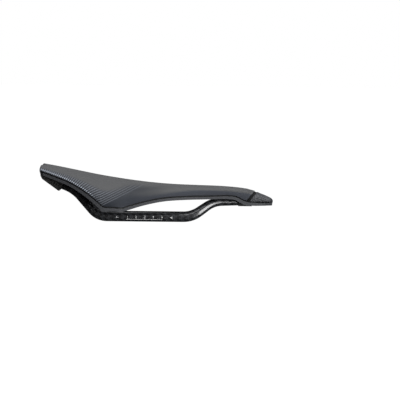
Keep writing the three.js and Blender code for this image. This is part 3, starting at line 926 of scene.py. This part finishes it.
# ---- Cover
# A thin microfibre skin is pressed over both pads and bonded round the edge of the base shell. Fine
# diagonal ribs are embossed low on the right wing, and a silver band crosses the left one. The skin's
# colour also carries painted shade down its sides and low on the right wing, with a painted highlight
# on the ribs and painted shade in their hollows.

RIB_SPACING = 2.2


def cover_skin():
    finish, start = new_finish("cover_microfibre")
    place = object_place(start)
    x = start.node("SeparateXYZ", {}, {0: place}, output=0) * (1 / MM)
    y = start.node("SeparateXYZ", {}, {0: place}, output=1) * (1 / MM)
    run = start.node("Attribute", {"attribute_name": "rib_run"}, {}, output=2)
    rise = start.node("Attribute", {"attribute_name": "rib_rise"}, {}, output=2)
    height = start.node("Attribute", {"attribute_name": "edge_height"}, {}, output=2)
    lit_top_face = start.node("Attribute", {"attribute_name": "lit_top_face"}, {}, output=2).rise(-0.5, 0.5)
    right = (0 - y).rise(12.0, 20.0)
    shaded_side_face = 1 - lit_top_face

    # Ribs low on the wing, fainter towards the nose, with a painted highlight on each rib and painted
    # shade in the hollows between them, in a zone of painted shade darker than the rest.
    wave = start.math("SINE", run * (2 * math.pi / RIB_SPACING)) * 0.5 + 0.5
    zone = right * (1 - run.rise(-50.0, -49.0)) * (1 - rise.rise(0.42, 0.58))
    rib = wave * zone
    faint = 1 - x.rise(-50.0, -20.0) * 0.45
    shade = right * (1 - rise.rise(0.3, 0.62)) * (1 - run.rise(-49.0, -30.0))

    # A row of light ticks at the ribs' feet, which run together near the tail.
    foot = right * height.rise(0.7, 1.1) * (1 - height.rise(2.0, 2.6)) * (1 - x.rise(-56.0, -50.0))
    solid = 1 - x.rise(-96.0, -84.0)
    tick = foot * (wave.rise(0.35, 0.7) * (1 - solid) + solid * 0.45)

    # A silver band between two bowed lines, with a dark slot along its middle.
    past = y - 11.0
    front = 26.3 - past * 0.505 - past * past * 0.0048
    past = y - 12.0
    rear = 17.3 - past * 0.556 - past * past * 0.00153
    across = (x - rear) / (front - rear)
    band = (x - rear).rise(-0.15, 0.15) * (front - x).rise(-0.15, 0.15) * y.rise(15.0, 18.0)
    slot = across.rise(0.36, 0.42) * (1 - across.rise(0.58, 0.64)) * y.rise(28.0, 28.6)
    silver = band * (1 - slot * (1 - y.rise(57.6, 58.2))) * (1 - y.rise(66.5, 67.0))

    grain = start.node("TexVoronoi", {}, {"Vector": place, "Scale": 1300.0})
    cloud = start.node("TexNoise", {}, {"Vector": place, "Scale": 45.0, "Detail": 3.0})
    pile = start.node("TexNoise", {}, {"Vector": place, "Scale": 2600.0, "Detail": 2.0})
    plain = cloud.mix((0.046, 0.0465, 0.048, 1), (0.056, 0.0565, 0.058, 1))
    speckled = (pile.rise(0.3, 0.75) * 0.5).mix(plain, (0.072, 0.073, 0.075, 1))
    # Below the shoulder the side is painted darker and bluer: painted shade.
    side_shaded = (shaded_side_face * 0.9).mix(speckled, (0.028, 0.032, 0.042, 1))
    shaded = (shade * 0.8).mix(side_shaded, (0.012, 0.0145, 0.02, 1))
    # Painted shade in the hollows between the ribs, then a painted highlight on each rib.
    hollow_shaded = (zone * faint * (1 - wave)).mix(shaded, (0.004, 0.0048, 0.007, 1))
    rib_highlighted = (rib * faint * 0.75).mix(hollow_shaded, (0.1, 0.108, 0.125, 1))
    ticked = (tick * 0.85).mix(rib_highlighted, (0.34, 0.37, 0.42, 1))
    metal = silver.mix(ticked, (0.46, 0.47, 0.48, 1))
    relief = grain * 0.25 + pile * 0.3 + rib * 1.4
    normal = start.node("Bump", {}, {"Strength": 0.35, "Distance": 0.0004, "Height": relief})
    close_finish(start, {
        "Base Color": metal,
        "Roughness": 0.52 + cloud * 0.1 - silver * 0.16,
        "Metallic": silver * 0.35,
        "Specular IOR Level": 0.18,
        "Sheen Weight": 0.02,
        "Sheen Roughness": 0.5,
        "Normal": normal,
    })
    return finish


# The ribs' run is measured along their feet. How fast it grows behind the bend and in front of it,
# and how far a rib leans near the tail and near the bend.
BEND_X = -43
FOOT_RATE = (1.15, 0.45)
RIB_LEAN = (0.5, 0.9)
RIB_LEAN_BETWEEN = (-95, -40)

# The ribs end lower towards the nose, by this share of the cover's height.
RIBS_LOWER, RIBS_LOWER_BETWEEN = 0.35, (-45, -10)

# How far the shoulder, where the side's painted shade begins, lies below the crown and how soft it
# is, on the wings and on the nose.
SHOULDER_DROP = (14, 4.2)
SHOULDER_SOFT = (7, 1.6)
SHOULDER_BETWEEN = (-20, 60)


def cover_point(u, v, low):
    inset = SKIN if low else 0
    return lobe_point(u, v, inset, inset, True)


def cover_half():
    """The cover's left half, joined to its mirror image. Its attributes place the decoration and
    the painted shade and highlights.
    """
    bm = slab(300, 64, cover_point)
    run = bm.verts.layers.float.new("rib_run")
    rise = bm.verts.layers.float.new("rib_rise")
    height = bm.verts.layers.float.new("edge_height")
    level = bm.verts.layers.float.new("lit_top_face")
    for vert in bm.verts:
        x, _, z = vert.co / MM
        behind = min(x, BEND_X)
        along_foot = FOOT_RATE[0] * behind + FOOT_RATE[1] * max(x - BEND_X, 0)
        lean = lerp(*RIB_LEAN, smoothstep(x, *RIB_LEAN_BETWEEN))
        vert[run] = along_foot - lean * (z - edge(behind))
        lower = RIBS_LOWER * smoothstep(x, *RIBS_LOWER_BETWEEN)
        vert[rise] = (z - edge(x)) / max(crown(x) - edge(x), 1) - lower
        vert[height] = z - edge(x)
        # The shoulder, where the side's painted shade begins below the crown.
        nose = smoothstep(x, *SHOULDER_BETWEEN)
        shoulder = crown(x) - lerp(*SHOULDER_DROP, nose)
        vert[level] = (z - shoulder) / lerp(*SHOULDER_SOFT, nose)
    return both_sides(bm)


cover = piece("microfibre_cover", cover_half(), cover_skin(), ["cover"],
              sharp=50, bevel=0.3)

# ---- Nose cap
# A separate textured cap of matt plastic closes the nose in front of a dark groove. One screw
# from below holds it on the base shell.

CAP_BASE = 22
CAP_NARROWER = 0.3
CAP_ACROSS, CAP_DOWN = 0.75, 0.7
CAP_SHOULDER = 0.9
TIP_ROUND = 2.4

# The cap's underside stands this far off the shell: along the saddle, across it and upwards.
CAP_OFF_ALONG, CAP_OFF_ACROSS, CAP_OFF_UP = 1.5, 1.2, 0.6


def cap_section(x, v, side, low):
    angle = v * math.pi / 2
    y = (half_width(x) - CAP_NARROWER) * math.sin(angle) ** CAP_ACROSS
    if low:
        under = shell_height(x - CAP_OFF_ALONG, max(y - CAP_OFF_ACROSS, 0), False)
        return side * y, max(CAP_BASE, under + CAP_OFF_UP)
    from_tip = min((nose_front(v) - x) / TIP_ROUND, 1)
    shoulder = CAP_BASE + CAP_SHOULDER
    top = lerp(shoulder, crown(x), math.sqrt(max(1 - (1 - from_tip) ** 2, 0)))
    return side * y, shoulder + (top - shoulder) * max(math.cos(angle), 0) ** CAP_DOWN


def cap_point(u, v, low):
    side = -1 if v < 0.5 else 1
    share = abs(2 * v - 1)
    forward = 1 - (1 - u) ** 2
    front = nose_front(share)
    rear = meet_groove(lambda at: cap_section(at, share, side, low), GROOVE_HALF)
    x = lerp(rear, front, forward)
    return x, *cap_section(x, share, side, low)


def pebbled_plastic():
    finish, start = new_finish("pebbled_plastic")
    place = object_place(start)
    pebbles = start.node("TexVoronoi", {}, {"Vector": place, "Scale": 900.0})
    cloud = start.node("TexNoise", {}, {"Vector": place, "Scale": 120.0, "Detail": 3.0})
    relief = start.node("Bump", {}, {"Strength": 0.8, "Distance": 0.0005, "Height": pebbles})
    colour = pebbles.rise(0.05, 0.7).mix((0.05, 0.053, 0.06, 1), (0.018, 0.019, 0.022, 1))
    close_finish(start, {
        "Base Color": colour,
        "Roughness": 0.42 + cloud * 0.12,
        "Normal": relief,
    })
    return finish


cap = slab(40, 60, cap_point)
piece("pebbled_nose_cap", cap, pebbled_plastic(), ["nose_cap"], sharp=50, bevel=0.35)

# ---- Clip plate, inserts and screws
# A small plate under the tail takes a bag or light clip. Its two steel screws turn into brass
# inserts, and two more hold the front socket and the nose cap. The plate and inserts keep their
# frame shapes and only get a finish here.


def brushed_steel():
    finish, start = new_finish("brushed_steel")
    place = object_place(start)
    brush = start.node("Mapping", {"vector_type": "POINT"}, {0: place, "Scale": (1, 1, 14)})
    lines = start.node("TexNoise", {}, {"Vector": brush, "Scale": 1200.0, "Detail": 3.0})
    close_finish(start, {
        "Base Color": lines.mix(grey(0.42), grey(0.6)),
        "Roughness": 0.24 + lines * 0.2,
        "Metallic": 1.0,
    })
    return finish


def turned_brass():
    finish, start = new_finish("turned_brass")
    lines = start.node("TexNoise", {}, {"Vector": object_place(start), "Scale": 1600.0})
    close_finish(start, {
        "Base Color": lines.mix((0.42, 0.27, 0.1, 1), (0.6, 0.42, 0.18, 1)),
        "Roughness": 0.28 + lines * 0.2,
        "Metallic": 1.0,
    })
    return finish


def matt_plate():
    finish, start = new_finish("matt_plate")
    place = object_place(start)
    grain = start.node("TexNoise", {}, {"Vector": place, "Scale": 1500.0, "Detail": 3.0})
    relief = start.node("Bump", {}, {"Strength": 0.4, "Distance": 0.0003, "Height": grain})
    close_finish(start, {
        "Base Color": grain.mix(grey(0.012), grey(0.024)),
        "Roughness": 0.5 + grain * 0.15,
        "Normal": relief,
    })
    return finish


HEAD_OVERLAP = 0.1
HEAD_EASE = 0.35
KEY_OUT = 0.01


def screw(x, y, low, head, head_height, shank, tip):
    """A screw with its eased head down, and the six-sided outline of its key on the head."""
    bm = bmesh.new()
    bar(bm, shank, x, y, low + head_height - HEAD_OVERLAP, tip)
    faces = {face for vert in bar(bm, head, x, y, low, low + head_height) for face in vert.link_faces}
    under = min(faces, key=lambda face: face.calc_center_median().z)
    bmesh.ops.bevel(bm, geom=under.edges[:], offset=HEAD_EASE * MM, offset_type="OFFSET",
                    segments=3, profile=0.5, affect="EDGES", material=-1)
    key = bmesh.ops.create_circle(bm, cap_ends=True, segments=6, radius=head / 2 * MM)["verts"]
    bmesh.ops.translate(bm, verts=key, vec=Vector((x, y, low - KEY_OUT)) * MM)
    return bm


def show_frame_shape(node, finish):
    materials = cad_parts[node].data.materials
    materials.clear()
    materials.append(finish)


# Screws: x, y, underside of the head, its radius and height, the shank's radius and its tip.
CAP_SCREW = (122, 0, 17.9, 2.3, 1.4, 1.3, 24.7)
SOCKET_SCREW = (SOCKET_SCREW_X, 0, 17.2, 2.7, 2, 1.5, 25.4)
CLIP_SCREW = (34.2, 3, 1.6, 1.6, 40.7)
steel = brushed_steel()
piece("cap_fixing_screw", screw(*CAP_SCREW), steel, ["nose_cap_screw"], sharp=30)
piece("block_fixing_screw", screw(*SOCKET_SCREW), steel, ["front_socket_screw"],
      sharp=30)

show_frame_shape("accessory_clip_plate", matt_plate())
brass = turned_brass()
for side, name in ((1, "left"), (-1, "right")):
    show_frame_shape(name + "_threaded_insert", brass)
    clip_screw = screw(INSERT_X, side * INSERT_Y, *CLIP_SCREW)
    node = name + "_clip_screw"
    piece(name + "_plate_screw", clip_screw, steel, [node], sharp=30)
